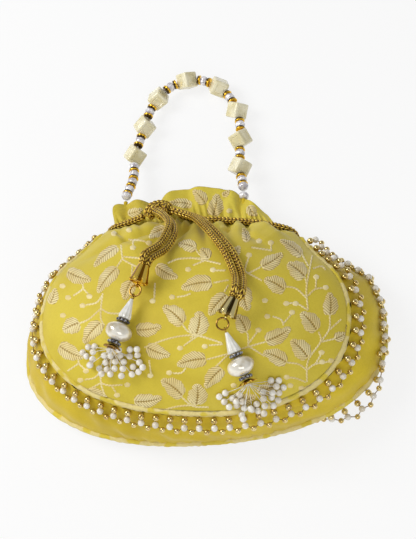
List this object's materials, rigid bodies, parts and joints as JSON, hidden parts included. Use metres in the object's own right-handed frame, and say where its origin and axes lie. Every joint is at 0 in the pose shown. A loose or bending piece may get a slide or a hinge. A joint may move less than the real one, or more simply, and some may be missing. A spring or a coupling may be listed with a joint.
{
  "type": "potli bag",
  "caption": "Gathered dome-shaped drawstring pouch bag with a flat back, bead-edged seams, a beaded loop handle and two cord ends with pearl tassels.",
  "frame": {"origin": "centre of the flat face of the back panel, on which the bag lies", "axes": "+Z out of the front panel, away from the surface that the bag lies on; +Y towards the gathered mouth and the handle; +X to the right of someone looking at the front panel with the mouth away from them"},
  "size_m": [0.2339, 0.2803, 0.0881],
  "materials": {
    "embroidered_cloth": "woven silk blend with raised cream embroidery",
    "plain_cloth": "plain woven silk blend",
    "lining_cloth": "thin plain lining",
    "piping_cloth": "cloth-covered piping with cream stitching",
    "lace_beads": "gold beads and pearls on a netted edging",
    "braided_cord": "dark cord in a knitted metallic gold cover",
    "gold_metal": "bright pressed gold-coloured metal",
    "clear_drops": "fluted, nearly clear drops",
    "stone_rondelles": "small stones in a dark metal setting",
    "pearls": "satin pearl",
    "strand_beads": "silvery beads between gold spacers",
    "ivory_cubes": "pearly ivory, softly rounded edges"
  },
  "bodies": {
    "bag": {"back_bead_lace": "lace_beads", "back_panel": "plain_cloth", "back_piping": "piping_cloth", "drawstring": "braided_cord", "drawstring_knot": "braided_cord", "front_bead_lace": "lace_beads", "front_panel": "embroidered_cloth", "front_piping": "piping_cloth", "gusset": "plain_cloth", "left_cord_a": "braided_cord", "left_cord_b": "braided_cord", "left_cord_cap": "gold_metal", "left_handle_loop": "plain_cloth", "left_jump_ring": "gold_metal", "lining_pouch": "lining_cloth", "neck_frill": "embroidered_cloth", "right_cord_a": "braided_cord", "right_cord_b": "braided_cord", "right_cord_cap": "gold_metal", "right_handle_loop": "plain_cloth", "right_jump_ring": "gold_metal"},
    "handle": {"handle_strand": "strand_beads", "handle_cube_1": "ivory_cubes", "handle_cube_2": "ivory_cubes", "handle_cube_3": "ivory_cubes", "handle_cube_4": "ivory_cubes", "handle_cube_5": "ivory_cubes", "handle_cube_6": "ivory_cubes", "handle_cube_7": "ivory_cubes", "handle_cube_8": "ivory_cubes"},
    "left_tassel": {"left_drop_bead": "clear_drops", "left_upper_rondelle": "stone_rondelles", "left_round_pearl": "pearls", "left_lower_rondelle": "stone_rondelles", "left_flower_cap": "gold_metal", "left_pearl_fringe": "pearls"},
    "right_tassel": {"right_drop_bead": "clear_drops", "right_upper_rondelle": "stone_rondelles", "right_round_pearl": "pearls", "right_lower_rondelle": "stone_rondelles", "right_flower_cap": "gold_metal", "right_pearl_fringe": "pearls"}
  },
  "joints": [
    {"name": "handle_swing", "type": "hinge", "parent": "bag", "child": "handle", "pos_m": [0, 0.106, 0.017], "axis": [1, 0, 0], "range_deg": [-80, 112]},
    {"name": "left_tassel_swing", "type": "hinge", "parent": "bag", "child": "left_tassel", "pos_m": [-0.0296, 0.00027, 0.08051], "axis": [-0.9072, 0.3992, -0.1324], "range_deg": [0, 70]},
    {"name": "right_tassel_swing", "type": "hinge", "parent": "bag", "child": "right_tassel", "pos_m": [0.02341, -0.02407, 0.07896], "axis": [-0.9255, -0.3771, 0.0357], "range_deg": [0, 70]}
  ]
}
